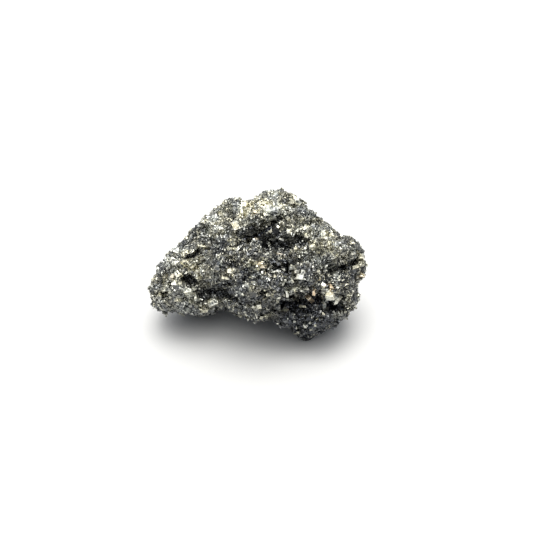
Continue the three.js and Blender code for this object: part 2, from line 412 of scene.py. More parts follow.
massShape = {  # lengths in mm
    "merge": 0.001,
    "voxel": 0.28,
    "smoothing": {"factor": 0.6, "iterations": 8},  # of the CAD's larger crystals, which the crust replaces
    "shrink": 0.22,
    "facets": {"large": {"size": 2.2, "tilt": 0.38, "depth": 0.42},
               "small": {"size": 0.8, "tilt": 0.45, "depth": 0.18}},
    "footFade": (0.1, 0.7),  # up to these heights the feet keep their shape, so that they stay flat
}


def copyOfStone():
    stone = frame["nodes"]["pyrite_mass"]
    copy = stone.copy()
    copy.data = stone.data.copy()
    copy.name = "craggyMass"
    copy.parent = None
    bpy.context.scene.collection.objects.link(copy)
    activate(copy)
    bpy.ops.object.mode_set(mode="EDIT")
    bpy.ops.mesh.select_all(action="SELECT")
    bpy.ops.mesh.remove_doubles(threshold=massShape["merge"] * mm)
    bpy.ops.object.mode_set(mode="OBJECT")
    return copy


def facetTree():
    nodes, start = newTree("facets")
    place = nodes.node("GeometryNodeInputPosition")
    normal = nodes.node("GeometryNodeInputNormal")
    height = place.node("ShaderNodeSeparateXYZ", output="Z", in0=place)
    lift = -massShape["shrink"] * mm
    for facet in massShape["facets"].values():
        size = facet["size"] * mm
        cell = nodes.node("ShaderNodeTexVoronoi", {"feature": "F1"}, output="Position", Vector=place,
                          Scale=1 / size)
        lean = nodes.vector("SUBTRACT", cell.other("Color"), (0.5, 0.5, 0.5))
        away = nodes.vector("SUBTRACT", place, cell)
        slope = nodes.vector("DOT_PRODUCT", away, lean, output="Value")
        rise = nodes.node("ShaderNodeSeparateXYZ", output="X", in0=lean)
        lift = lift + slope * (2 * facet["tilt"]) + rise * (facet["depth"] * mm)
    lift = lift * nodes.step(height, *(value * mm for value in massShape["footFade"]))
    moved = nodes.node("GeometryNodeSetPosition", Geometry=start, Offset=nodes.times(normal, lift))
    return endTree(moved)


# Places where the skin is pressed in, in mm, because a corner of the solid would stand out of the outline

pressed = {
    "saddle": {"at": (-3.0, 11.2, 22.2), "by": (0.2, -0.9, -1.2), "reach": 2.4},
}


def pressIn(piece):
    activate(piece)
    for spot in pressed.values():
        place = Vector(spot["at"]) * mm
        bpy.ops.object.mode_set(mode="EDIT")
        bpy.ops.mesh.select_all(action="DESELECT")
        bpy.ops.object.mode_set(mode="OBJECT")
        min(piece.data.vertices, key=lambda vertex: (vertex.co - place).length).select = True
        bpy.ops.object.mode_set(mode="EDIT")
        bpy.ops.transform.translate(value=Vector(spot["by"]) * mm, use_proportional_edit=True,
                                    proportional_edit_falloff="SMOOTH", proportional_size=spot["reach"] * mm)
        bpy.ops.object.mode_set(mode="OBJECT")


def makeMass():
    mass = copyOfStone()
    applyModifier(mass, "REMESH", mode="VOXEL", voxel_size=massShape["voxel"] * mm)
    applyModifier(mass, "SMOOTH", **massShape["smoothing"])
    pressIn(mass)
    carveReliefs(mass)
    applyModifier(mass, "REMESH", mode="VOXEL", voxel_size=massShape["voxel"] * mm)
    applyModifier(mass, "NODES", node_group=facetTree())
    keepInBox(mass, boxMargins["mass"])
    mass.data.materials.clear()
    return mass


# How far each point of the mass is shut in, kept with the mesh for the painted shade of hollows and for how
# deep crystals sit on ridges

shade = {"rays": 26, "reach": 6 * mm, "lift": 0.2 * mm, "flattest": 0.1}


def measureHollows(piece):
    tree = treeOf(piece)
    ways = []
    for n in range(shade["rays"] * 2):
        height = 1 - (2 * n + 1) / (shade["rays"] * 2)
        ring = math.sqrt(1 - height * height)
        around = n * math.pi * (3 - math.sqrt(5))
        ways.append(Vector((ring * math.cos(around), ring * math.sin(around), height)))
    values = []
    for vertex in piece.data.vertices:
        start = vertex.co + vertex.normal * shade["lift"]
        seen, met = 0.0, 0.0
        for way in ways:
            facing = way.dot(vertex.normal)
            if facing <= shade["flattest"]:
                continue
            seen += facing
            if tree.ray_cast(start, way, shade["reach"])[0] is not None:
                met += facing
        values.append(met / seen)
    setAttribute(piece, "hollow", values)


# Zones of the crust, by their place in the picture: how coarse its crystals are there, the painted light that
# brightens it, and the painted shade that darkens it

zones = {
    "leftLobe": {"at": (185, 284), "reach": (42, 42), "coarse": 1.0, "shine": 0.5, "tarnish": -0.1},
    "lobeTop": {"at": (192, 264), "reach": (22, 16), "coarse": 0.0, "shine": 0.3, "tarnish": -0.2},
    "beigePatch": {"at": (213, 223), "reach": (15, 15), "coarse": 0.0, "shine": 0.6, "tarnish": -0.2},
    "shoulder": {"at": (202, 232), "reach": (16, 20), "coarse": 0.6, "shine": -0.1, "tarnish": 0.1},
    "crest": {"at": (275, 201), "reach": (38, 17), "coarse": 0.5, "shine": 0.9, "tarnish": -0.3},
    "upperLeft": {"at": (225, 217), "reach": (26, 26), "coarse": 0.1, "shine": 0.6, "tarnish": -0.3},
    "glitter": {"at": (288, 230), "reach": (22, 11), "coarse": 0.0, "shine": 0.6, "tarnish": -0.5},
    "rightSlope": {"at": (320, 228), "reach": (26, 20), "coarse": -0.3, "shine": 0.6, "tarnish": -0.1},
    "rightLobe": {"at": (336, 255), "reach": (30, 17), "coarse": -0.3, "shine": 0.45, "tarnish": 0.1},
    "centreRight": {"at": (315, 268), "reach": (18, 18), "coarse": -0.2, "shine": 0.1, "tarnish": 0.0},
    "midFace": {"at": (250, 258), "reach": (26, 18), "coarse": -0.2, "shine": 0.2, "tarnish": 0.0},
    "foot": {"at": (303, 322), "reach": (36, 22), "coarse": 0.1, "shine": -0.8, "tarnish": 0.85},
}
coarseElsewhere = 0.15
underside = {"turned": (0.3, 0.75), "tarnish": 0.9}  # painted shade where the skin faces down


def paintZones(piece):
    tree = treeOf(piece)
    ready = [readied(relief) for relief in reliefs.values()]
    painted = {"coarse": [], "shine": [], "tarnish": [], "covered": []}
    for vertex in piece.data.vertices:
        sums = {"coarse": coarseElsewhere, "shine": 0.0, "tarnish": 0.0, "covered": 0.0}
        if facesEye(tree, vertex):
            x, y = placeInPicture(vertex.co)
            for zone in zones.values():
                across = (x - zone["at"][0]) / zone["reach"][0]
                up = (y - zone["at"][1]) / zone["reach"][1]
                share = math.exp(-(across ** 2 + up ** 2) ** 2)
                for name in ("coarse", "shine", "tarnish"):
                    sums[name] += share * zone[name]
            _, tarnish, bare = reliefAt(vertex.co, ready)
            sums["covered"] = max(bare, float(underNotable(x, y)))
            sums["tarnish"] = max(sums["tarnish"], tarnish)
        # Painted shade under the stone, where the skin faces down
        low, high = underside["turned"]
        below = max(0.0, min(1.0, (-vertex.normal.z - low) / (high - low)))
        sums["tarnish"] = max(sums["tarnish"], below * underside["tarnish"])
        for name, value in sums.items():
            painted[name].append(max(-1.0, min(1.0, value)))
    for name, values in painted.items():
        setAttribute(piece, name, values)


# Crystal kinds, each modelled once from a cube one unit across. A cut is a point and the way that it faces.

crystalShapes = {
    "block": {"bevel": 0.045},
    "step": {"step": {"inset": 0.16, "rise": 0.12, "upright": 0.9}},
    "corner": {"cuts": [((0.3, 0.3, 0.3), (1, 1, 1)), ((-0.34, 0.3, 0.34), (-1, 1, 1.2))], "bevel": 0.045},
    "slant": {"cuts": [((0.25, 0, 0.3), (1, 0.2, 1.1)), ((-0.36, 0.2, 0.4), (-1, 0.5, 1.4))]},
    "plate": {"size": (1.15, 0.95, 0.4), "cuts": [((0.42, 0.3, 0), (1, 0.7, 0.3))]},
    "cube": {},
    "wedge": {"cuts": [((0, 0, 0.1), (1, 0.1, 1))]},
    "chip": {"cuts": [((0.2, 0.2, 0.2), (1, 0.8, 1.2))]},
    "bar": {"size": (1.7, 0.5, 0.5)},
}
crystalKinds = {
    "large": ("block", "step", "corner", "slant", "plate"),
    "fine": ("cube", "wedge", "chip", "plate", "bar"),
}


def startCube(name):
    deselectAll()
    bpy.ops.mesh.primitive_cube_add(size=1, location=(0, 0, 0))
    piece = bpy.context.object
    piece.name = name
    return piece


def cutAcross(piece, point, normal):  # cuts a corner or an edge off and closes the cut
    activate(piece)
    bpy.ops.object.mode_set(mode="EDIT")
    bpy.ops.mesh.select_all(action="SELECT")
    bpy.ops.mesh.bisect(plane_co=point, plane_no=normal, use_fill=True, clear_outer=True)
    bpy.ops.object.mode_set(mode="OBJECT")


def raiseStep(piece, inset, rise, upright):  # on its upper face
    activate(piece)
    bpy.ops.object.mode_set(mode="EDIT")
    bpy.ops.mesh.select_mode(type="FACE")
    bpy.ops.mesh.select_all(action="DESELECT")
    bpy.ops.object.mode_set(mode="OBJECT")
    for face in piece.data.polygons:
        face.select = face.normal.z > upright
    bpy.ops.object.mode_set(mode="EDIT")
    bpy.ops.mesh.inset(thickness=inset, depth=0)
    bpy.ops.mesh.extrude_region_move(TRANSFORM_OT_translate={"value": (0, 0, rise)})
    bpy.ops.mesh.select_all(action="SELECT")
    bpy.context.scene.cursor.location = (5, 3, 2)  # no two faces are as far from it
    bpy.ops.mesh.sort_elements(type="CURSOR_DISTANCE", elements={"FACE"})  # extruding orders them by chance
    bpy.ops.object.mode_set(mode="OBJECT")


def bevelEdges(piece, offset):
    activate(piece)
    bpy.ops.object.mode_set(mode="EDIT")
    bpy.ops.mesh.select_all(action="SELECT")
    bpy.ops.mesh.bevel(offset=offset, segments=1, affect="EDGES")
    bpy.ops.object.mode_set(mode="OBJECT")


def makeCrystal(name, shape):
    piece = startCube(name)
    if "size" in shape:
        bpy.ops.transform.resize(value=shape["size"])
        bpy.ops.object.transform_apply(location=True, rotation=True, scale=True)
    for point, normal in shape.get("cuts", ()):
        cutAcross(piece, point, normal)
    if "step" in shape:
        raiseStep(piece, **shape["step"])
    if "bevel" in shape:
        bevelEdges(piece, shape["bevel"])
    return piece


def makeKinds(name):
    kinds = bpy.data.collections.new(name)
    bpy.context.scene.collection.children.link(kinds)
    for number, shape in enumerate(crystalKinds[name]):
        piece = makeCrystal(f"{name}Kind{number}", crystalShapes[shape])
        own = piece.data.attributes.new("own", "FLOAT_VECTOR", "POINT")  # places in the crystal's own frame
        for vertex, value in zip(piece.data.vertices, own.data):
            value.vector = vertex.co
        for home in list(piece.users_collection):
            home.objects.unlink(piece)
        kinds.objects.link(piece)
    return kinds


def removeKinds(kinds):
    for piece in list(kinds.objects):
        bpy.data.objects.remove(piece)
    bpy.data.collections.remove(kinds)


# The crust of crystals. Sizes and spacing in mm; crystals in one patch lean alike, each with a little lean of
# its own. The fine crust is made in lengths along X, so that no piece is too heavy. What a crust doesn't say
# is as in fineCrust.

crusts = {
    "coarseCrystals": {"kinds": "large", "small": 0.7, "large": 1.5, "apart": 1.5, "bias": 1.8, "patch": 4.0,
                       "patchLean": 1.2, "lean": 0.7, "sunk": 0.56, "share": (0.15, 0.9), "seed": 3},
    "smallCrystals": {"kinds": "large", "small": 0.4, "large": 0.8, "apart": 0.95, "bias": 1.4, "patch": 3.0,
                      "patchLean": 1.4, "lean": 1.0, "sunk": 0.46, "share": (0.8, 1.0), "seed": 11},
    "fineLeft": {"kinds": "fine", "between": (-30, -8.5), "seed": 23},
    "fineMiddle": {"kinds": "fine", "between": (-8.5, 0.5), "seed": 24},
    "fineRight": {"kinds": "fine", "between": (0.5, 9), "seed": 25},
    "fineEnd": {"kinds": "fine", "between": (9, 30), "seed": 26},
}
fineCrust = {"small": 0.32, "large": 0.76, "apart": 0.34, "bias": 1.5, "patch": 2.2, "patchLean": 1.8,
             "lean": 1.0, "sunk": 0.42, "share": (1.0, 1.0), "flat": (1.15, 1.0, 0.75)}
crustShape = {
    "boxy": (0.72, 1.18),  # a crystal's edges, as shares of its size
    "ridgeSunk": 0.2,  # how much deeper crystals sit on ridges, where nothing shelters them
    "ridge": (0.02, 0.25),  # how shut in a place may be and still count as a ridge
    "footGap": (0.1, 0.5),  # mm, heights between which the crust begins above the feet
    "density": 3,
}
draws = {"size": 1, "lean": 2, "shape": 4, "kind": 5, "tone": 6, "facet": 7}  # added to the crust's own seed


def crustTree(name, crust, kinds):
    nodes, start = newTree(name)

    def chance(low, high, seed):
        return nodes.node("FunctionNodeRandomValue", {"data_type": "FLOAT"}, Min=low, Max=high, Seed=seed)

    def chances(low, high, seed):
        return nodes.node("FunctionNodeRandomValue", {"data_type": "FLOAT_VECTOR"}, Min=(low,) * 3,
                          Max=(high,) * 3, Seed=seed)

    seeds = {draw: crust["seed"] + number for draw, number in draws.items()}
    apart = crust["apart"] * mm
    place = nodes.node("GeometryNodeInputPosition")
    height = nodes.node("ShaderNodeSeparateXYZ", output="Z", in0=place)
    where = nodes.node("GeometryNodeInputNamedAttribute", {"data_type": "FLOAT"}, Name="coarse")
    low, high = crust["share"]
    where = nodes.maths("MAXIMUM", where, 0.0)
    covered = nodes.node("GeometryNodeInputNamedAttribute", {"data_type": "FLOAT"}, Name="covered")
    above = nodes.step(height, *(value * mm for value in crustShape["footGap"]))
    share = (where * (high - low) + low) * above
    share = share * (1 - covered)
    if "between" in crust:
        along = nodes.node("ShaderNodeSeparateXYZ", output="X", in0=place)
        first, last = crust["between"]
        share = share * nodes.maths("GREATER_THAN", along, first * mm)
        share = share * nodes.maths("LESS_THAN", along, last * mm)
    spread = nodes.node("GeometryNodeDistributePointsOnFaces", {"distribute_method": "POISSON"}, Mesh=start,
                        DistanceMin=apart, DensityMax=crustShape["density"] / apart ** 2, DensityFactor=share,
                        Seed=crust["seed"])
    normal = spread.other("Normal")
    growth = chance(0.0, 1.0, seeds["size"]) ** crust["bias"]
    size = crust["small"] * mm * (crust["large"] / crust["small"]) ** growth
    cells = nodes.node("ShaderNodeTexVoronoi", {"feature": "F1"}, output="Color", Vector=place,
                       Scale=1 / (crust["patch"] * mm))
    patch = nodes.vector("SUBTRACT", cells, (0.5, 0.5, 0.5))
    patch = nodes.vector("MULTIPLY", patch, (crust["patchLean"], crust["patchLean"], 2 * math.pi))
    lean = nodes.vector("ADD", patch, chances(-crust["lean"] / 2, crust["lean"] / 2, seeds["lean"]))
    turned = nodes.node("FunctionNodeEulerToRotation", in0=lean)
    shape = nodes.vector("MULTIPLY", chances(*crustShape["boxy"], seeds["shape"]), crust["flat"])
    hollow = nodes.node("GeometryNodeInputNamedAttribute", {"data_type": "FLOAT"}, Name="hollow")
    sunk = crust["sunk"] + crustShape["ridgeSunk"] * (1 - nodes.step(hollow, *crustShape["ridge"]))
    points = nodes.node("GeometryNodeSetPosition", Geometry=spread,
                        Offset=nodes.times(normal, size * sunk * -1.0))
    group = nodes.node("GeometryNodeCollectionInfo", Collection=kinds, SeparateChildren=True,
                       ResetChildren=True)
    kind = nodes.node("FunctionNodeRandomValue", {"data_type": "INT"}, Min=0, Max=len(kinds.objects) - 1,
                      Seed=seeds["kind"])
    placed = nodes.node("GeometryNodeInstanceOnPoints", Points=points, Instance=group, PickInstance=True,
                        InstanceIndex=kind, Rotation=turned, Scale=nodes.times(shape, size))
    toned = nodes.node("GeometryNodeStoreNamedAttribute", {"data_type": "FLOAT", "domain": "INSTANCE"},
                       Geometry=placed, Name="tone", Value=chance(0.0, 1.0, seeds["tone"]))
    real = nodes.node("GeometryNodeRealizeInstances", Geometry=toned)
    faced = nodes.node("GeometryNodeStoreNamedAttribute", {"data_type": "FLOAT", "domain": "FACE"},
                       Geometry=real, Name="facet", Value=chance(0.0, 1.0, seeds["facet"]))
    return endTree(faced)


def growCrust(name, mass, kinds):
    crust = {**fineCrust, **crusts[name]}
    piece = mass.copy()
    piece.data = mass.data.copy()
    piece.name = name
    bpy.context.scene.collection.objects.link(piece)
    applyModifier(piece, "NODES", node_group=crustTree(name, crust, kinds[crust["kinds"]]))
    print("crust", name, sum(len(face.vertices) - 2 for face in piece.data.polygons), "triangles")
    return piece


# The mass itself shows only where its crust is missing and in the gaps between crystals, which get painted
# shade: a darker tone and more darkening

bareSkin = {"tone": 0.5, "gapTone": 0.15, "gapTarnish": 0.45}


def finishBare(mass):
    values = {name: [0.0] * len(mass.data.vertices) for name in ("covered", "tarnish")}
    for name, found in values.items():
        mass.data.attributes[name].data.foreach_get("value", found)
    setAttribute(mass, "tone", [max(bareSkin["gapTone"], covered * bareSkin["tone"])
                                for covered in values["covered"]])
    setAttribute(mass, "tarnish", [max(tarnish, bareSkin["gapTarnish"] * (1 - covered))
                                   for covered, tarnish in zip(values["covered"], values["tarnish"])])


# The crystals that can be told apart in the photo. Each row: place in the picture, width and height in
# pixels, turn anticlockwise in degrees, shape, look, and how far it stands out of the crust in mm.

# A look's painted light brightens its crystal as a painted highlight; the dim look's negative value darkens
# it as painted shade.
looks = {  # away: degrees between its face and the one that mirrors the key light into the eye
    "white": {"tone": 1.0, "away": 13, "tint": 0.0, "shine": 0.8},
    "cream": {"tone": 0.95, "away": 20, "tint": 0.15, "shine": 0.8},
    "satin": {"tone": 0.62, "away": 24, "tint": 0.1, "shine": 0.8},
    "pale": {"tone": 0.85, "away": 23, "tint": 0.0, "shine": 0.8},
    "pink": {"tone": 0.9, "away": 20, "tint": 0.45, "shine": 0.8},
    "tan": {"tone": 0.9, "away": 20, "tint": 0.8, "shine": 0.8},
    "blue": {"tone": 0.65, "away": 23, "tint": -0.45, "shine": 0.8},
    "dim": {"tone": 0.1, "away": 34, "tint": -0.2, "shine": -0.4},
}
notable = [
    (267, 208, 9, 7, 22, "step", "pale", 0.3), (276, 203, 8, 6, 20, "step", "pale", 0.3),
    (277, 207, 7, 3, 25, "plate", "cream", 0.2), (293, 197, 9, 4, -12, "slant", "cream", -0.1),
    (297, 202, 7, 4, -25, "block", "pale", 0.1), (291, 201, 5, 5, 10, "corner", "pale", 0.3),
    (242, 204, 8, 4, 0, "block", "white", 0.5), (242, 211, 7, 4, -6, "slant", "white", 0.4),
    (235, 225, 7, 7, 30, "step", "cream", 0.2), (271, 215.5, 6, 2.5, 5, "plate", "cream", 0.4),
    (275, 192, 5, 4, 10, "block", "pale", 0.2), (264, 202, 5, 4, -20, "corner", "pale", 0.2),
    (272, 201, 4, 3, 0, "slant", "cream", 0.2), (284, 206, 6, 3, 12, "plate", "cream", 0.2),
    (256, 211, 6, 3, -4, "slant", "pink", 0.2), (249, 208, 4, 3, 30, "block", "cream", 0.2),
    (220, 214, 4, 3, 10, "block", "cream", 0.2), (237, 216, 5, 2.5, 45, "plate", "cream", 0.2),
    (259, 203, 4, 4, 15, "block", "pale", 0.2), (178, 250, 9, 5, -14, "slant", "white", 0.4),
    (175, 282, 8, 4.5, -4, "slant", "white", 0.3), (187, 289, 8, 5, 4, "corner", "white", 0.4),
    (199, 267, 7, 2.5, 2, "plate", "cream", 0.4), (199, 270.5, 7, 2.5, 0, "plate", "cream", 0.3),
    (184, 260.5, 5, 2.5, 0, "block", "cream", 0.2), (201, 258, 4, 4, 30, "corner", "cream", 0.3),
    (177, 299, 7, 3, 4, "slant", "cream", 0.3), (212, 301, 10, 7, 18, "corner", "satin", 0.2),
    (185, 272, 3, 2.5, 0, "block", "white", 0.3), (172, 275, 3, 4, -30, "block", "pink", 0.2),
    (164, 276, 3, 2, -30, "block", "cream", 0.2), (205, 244, 8, 2, 4, "plate", "pale", 0.4),
    (230, 270, 6, 5, -10, "corner", "cream", 0.5), (228, 277.5, 10, 2.2, -7, "plate", "cream", 0.6),
    (224, 287, 3, 2, 0, "block", "white", 1.0), (210, 282, 3, 2.5, 10, "block", "cream", 0.3),
    (196, 296, 5, 8, 8, "slant", "pale", 0.3), (219, 262, 5, 8, -12, "slant", "dim", 0.0),
    (255, 238, 5, 4, 0, "corner", "pink", 0.4), (233, 248, 13, 2, -4, "plate", "pale", 0.2),
    (248, 248, 5, 2, 15, "plate", "cream", 0.2), (257, 262, 8, 2.5, 4, "plate", "pink", 0.2),
    (256, 269, 5, 2, -6, "plate", "cream", 0.2), (263, 266, 8, 3, 6, "slant", "pink", 0.2),
    (281, 238, 6, 4, -20, "corner", "cream", 0.5), (288, 231, 3.5, 3.5, 0, "block", "cream", 0.3),
    (270, 231, 3, 2.5, 20, "block", "cream", 0.3), (295, 247, 3, 4, 0, "corner", "cream", 1.0),
    (281, 254, 7, 2.5, -10, "plate", "pink", 0.3), (298, 256, 3, 2.5, 0, "block", "white", 0.2),
    (291, 266, 6, 6, 10, "corner", "pale", 1.2), (282, 268, 4.5, 2, -40, "plate", "cream", 1.2),
    (296, 271, 4, 3, 0, "block", "cream", 1.0), (299.5, 276, 7, 5, -8, "block", "white", 0.4),
    (302, 271, 4, 5, 20, "corner", "cream", 0.4), (286, 289, 2.5, 7, 8, "slant", "satin", 0.1),
    (297, 287, 12, 2.5, 22, "plate", "pale", 0.3), (303, 286, 7, 3, 4, "plate", "pale", 0.3),
    (258, 303, 4, 2.5, 0, "block", "cream", 0.3), (266, 315, 6, 2.5, 6, "slant", "pale", 0.0),
    (341, 244, 6, 1.8, -48, "plate", "white", 0.2), (348, 243, 8, 1.8, 36, "plate", "cream", 0.2),
    (338, 269, 5, 3, 15, "slant", "pink", 0.3), (336, 273, 7, 6, -15, "corner", "pale", 0.4),
    (360, 256, 4, 3, 0, "block", "cream", 0.2), (358, 265, 10, 2.8, 24, "plate", "cream", 0.2),
    (360, 273, 7, 3, -18, "plate", "pink", 0.2), (357, 261, 7, 2, 20, "plate", "cream", 0.2),
    (323, 284, 4.5, 3, -30, "block", "white", 0.4), (314, 288.5, 3, 5, -10, "slant", "tan", 0.3),
    (307, 296, 4, 5, 35, "block", "tan", 1.3), (329, 292, 8, 7, -8, "corner", "satin", 0.2),
    (331, 285, 5, 4, 20, "slant", "tan", 0.3), (335, 298, 4, 4, 30, "corner", "pale", 0.2),
    (301, 304, 6, 2.5, -8, "plate", "white", 1.6), (284, 308, 5, 3.5, -10, "slant", "cream", 0.8),
    (277, 301, 3, 2.5, 0, "block", "pale", 0.4), (323, 301, 3, 4.5, 20, "corner", "blue", 0.9),
    (323, 305, 6, 2.5, 15, "plate", "pale", 1.8), (323, 313, 3, 2.2, 0, "block", "pale", 0.3),
    (306, 320, 7, 1.8, 48, "plate", "dim", 0.4), (298, 332, 3, 2, 20, "block", "pale", 0.1),
    (290, 313, 3, 4, 20, "slant", "dim", 0.4), (304, 322, 2.5, 4, -12, "slant", "pale", 0.1),
    (310, 322, 3.5, 2.5, 0, "corner", "pale", 0.1), (301, 316, 2, 2, 0, "block", "pale", 0.1),
    (294, 321, 2.5, 2, 30, "block", "pale", 0.1), (316, 317, 2.5, 1.5, 40, "plate", "pale", 0.1),
    (287, 318, 2, 2, 0, "corner", "pale", 0.1), (296, 327, 2, 2.5, 10, "slant", "cream", 0.1),
    (307, 330, 2.5, 1.5, -20, "plate", "pale", 0.1), (279, 309, 2.5, 2, 15, "block", "cream", 0.1),
    (315, 325, 2, 2, 0, "block", "pale", 0.1), (312, 245, 7, 3, 10, "corner", "pale", 0.2),
    (306, 234, 3, 5, -12, "slant", "pale", 0.2), (329, 244, 3.5, 7, -8, "slant", "cream", 0.2),
    (305, 226, 5, 3, 35, "plate", "cream", 0.2), (323, 233, 5, 5, 20, "corner", "pale", 0.2),
    (275, 275, 5, 3, 30, "slant", "cream", 0.2), (246, 284, 5, 3, -30, "slant", "pale", 0.2),
    (240, 293, 6, 3, -30, "plate", "pale", 0.2),
]
notableShape = {"depth": 0.9, "rise": 0.1, "margin": 0.3}  # mm in the skin, mm out of it, px without crust


def underNotable(x, y):  # whether one of these crystals is there
    margin = notableShape["margin"]
    for atX, atY, wide, tall, turn, _, _, _ in notable:
        if abs(x - atX) > wide or abs(y - atY) > wide:
            continue
        turn = math.radians(turn)
        along = (x - atX) * math.cos(turn) - (y - atY) * math.sin(turn)
        across = (x - atX) * math.sin(turn) + (y - atY) * math.cos(turn)
        if abs(along) < wide / 2 + margin and abs(across) < tall / 2 + margin:
            return True
    return False


def wayOfMirror():  # a face turned this way mirrors the key light into the eye
    return (toEye + Vector(studio["glows"]["key"]["from"]).normalized()).normalized()


def placeNotable(mass, kinds):
    tree = treeOf(mass)
    made = []
    for x, y, wide, tall, turn, shape, look, proud in notable:
        point = seenAt(tree, x, y)
        if point is None:
            continue
        look = looks[look]
        stray = Vector([random.uniform(-1, 1) for _ in range(3)])
        facing = wayOfMirror()
        stray = (stray - facing * stray.dot(facing)).normalized()
        facing = (facing + stray * math.tan(math.radians(look["away"]))).normalized()
        side = (rightInView - facing * rightInView.dot(facing)).normalized()
        axes = Matrix((side, facing.cross(side), facing)).transposed().to_4x4()
        source = kinds["large"].objects[crystalKinds["large"].index(shape)]
        piece = source.copy()
        piece.data = source.data.copy()
        bpy.context.scene.collection.objects.link(piece)
        proud += notableShape["rise"]
        deep = notableShape["depth"] + proud
        size = Matrix.Diagonal((wide * pixel, tall * pixel / facing.dot(toEye), deep * mm, 1))
        middle = point + toEye * proud * mm - facing * deep / 2 * mm
        turned = Matrix.Rotation(math.radians(turn), 4, facing)
        piece.matrix_world = Matrix.Translation(middle) @ turned @ axes @ size
        # The clean mark spares these crystals from the painted shade and tarnish, and softens their bump
        for name, value in {**look, "clean": 1.0}.items():
            if name != "away":
                setAttribute(piece, name, [value] * len(piece.data.vertices))
        facet = piece.data.attributes.new("facet", "FLOAT", "FACE")
        for each in facet.data:
            each.value = random.random()
        made.append(piece)
    joined = joinAll(made, "notableCrystals")
    print("notable crystals", sum(len(face.vertices) - 2 for face in joined.data.polygons), "triangles")
    return joined


# Materials

pyrite = {  # sizes in mm
    "dull": (0.145, 0.145, 0.136, 1),
    "fresh": (0.94, 0.935, 0.81, 1),
    "tarnish": (0.076, 0.083, 0.1, 1),  # colour of the painted shade in hollows, recesses, gaps and undersides, with a bluish tarnish
    "seam": (0.07, 0.075, 0.08, 1),  # painted shade in the lines between flakes
    "rim": (0.85, 0.83, 0.74, 1),  # painted highlight on the crystals' edges
    "warm": (0.85, 0.66, 0.45, 1),
    "cool": (0.42, 0.5, 0.58, 1),
    "warmDrift": (1.03, 0.995, 0.88, 1),
    "coolDrift": (0.96, 0.99, 1.06, 1),
    "brightness": {"tone": 0.8, "facet": 0.2, "shine": 0.38, "from": 0.08, "to": 0.7},  # from dull to fresh, by tone, facet and painted light
    "clouds": {"scale": 260.0, "detail": 4.0, "range": (0.45, 0.7), "share": 0.5},  # of dull in fresh
    "drift": {"size": 2.6, "detail": 2.0, "range": (0.35, 0.65)},  # patches that are warmer or cooler
    "flakes": {"size": 0.5, "flat": (0.8, 1.0, 1.7), "seam": (0.05, 0.22), "dark": 0.5, "lessInShine": 0.4},
    "rims": {"range": (0.38, 0.46), "share": 0.6},  # by the place in the crystal
    "shutIn": {"range": (0.55, 1.0), "share": 0.45},  # painted shade of hollows
    "brightest": {"range": (0.8, 0.9), "less": 0.3},  # tones with less painted shade and tarnish
    "deepest": (0.02, 0.02, 0.02, 1),
    "lit": {"least": 0.95, "byShine": 0.2},  # share of the colour that isn't the deepest one; below 1 it is painted shade, where the painted light is low
    "roughness": (0.18, 0.4),
    "facets": {"size": 0.42, "tilt": 0.35, "lessOnClean": 0.65},
}


